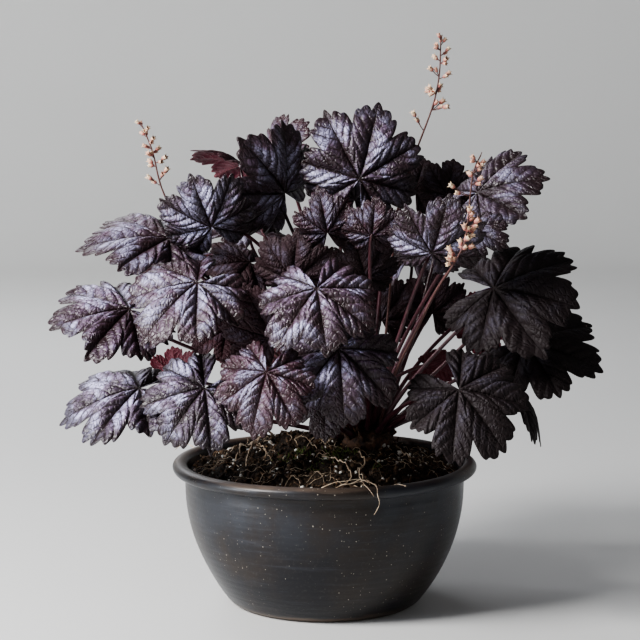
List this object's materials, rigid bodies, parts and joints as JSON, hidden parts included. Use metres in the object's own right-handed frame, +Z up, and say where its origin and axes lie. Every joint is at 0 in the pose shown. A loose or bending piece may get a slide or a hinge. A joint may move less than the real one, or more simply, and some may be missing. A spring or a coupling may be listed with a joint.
{
  "type": "potted heuchera plant",
  "caption": "Dark-leaved heuchera with lobed silver-purple leaves on arching stalks and slim flower sprays, growing in a round glazed pot with a rolled rim.",
  "frame": {"origin": "centre of the pot's flat base, on the surface that it stands on", "axes": "+Z up along the pot's axis, -Y to the plant's front, +X to its right as seen from the front"},
  "size_m": [0.4213, 0.3198, 0.4474],
  "materials": {
    "pot": "dark satin glaze",
    "soil": "rough peat",
    "crown": "rough bark",
    "leaf": "satin leaf",
    "spray": "soft petal"
  },
  "bodies": {
    "root": {"pot": "pot", "soil": "soil", "crown": "crown", "leaf_top": "leaf", "leaf_top_left": "leaf", "leaf_top_back": "leaf", "leaf_back_left_red": "leaf", "leaf_upper_left": "leaf", "leaf_left_wing": "leaf", "leaf_left_outer": "leaf", "leaf_left_centre": "leaf", "leaf_left_shade": "leaf", "leaf_low_left_outer": "leaf", "leaf_low_left": "leaf", "leaf_back_left_low": "leaf", "leaf_centre": "leaf", "leaf_centre_low": "leaf", "leaf_front_left": "leaf", "leaf_dark_left": "leaf", "leaf_right_centre": "leaf", "leaf_right_upper": "leaf", "leaf_right_upper_low": "leaf", "leaf_right_back_a": "leaf", "leaf_right_back_b": "leaf", "leaf_right_mid": "leaf", "leaf_right_far": "leaf", "leaf_low_right": "leaf", "leaf_right_drooper": "leaf", "leaf_right_red": "leaf", "leaf_right_shade": "leaf", "leaf_young_left": "leaf", "leaf_young_right": "leaf", "leaf_inner_dark": "leaf", "leaf_inner_left_high": "leaf", "leaf_inner_centre": "leaf", "leaf_right_dark": "leaf", "leaf_right_deep": "leaf", "leaf_under_centre": "leaf", "leaf_back_top": "leaf", "leaf_back_top_left": "leaf", "leaf_back_left_high": "leaf", "leaf_back_left": "leaf", "leaf_back_centre": "leaf", "leaf_back_low": "leaf", "leaf_back_low_left": "leaf", "leaf_back_top_right": "leaf", "leaf_back_right": "leaf", "leaf_back_low_right": "leaf", "spray_tall": "spray", "spray_left": "spray", "spray_right": "spray"}
  },
  "joints": []
}
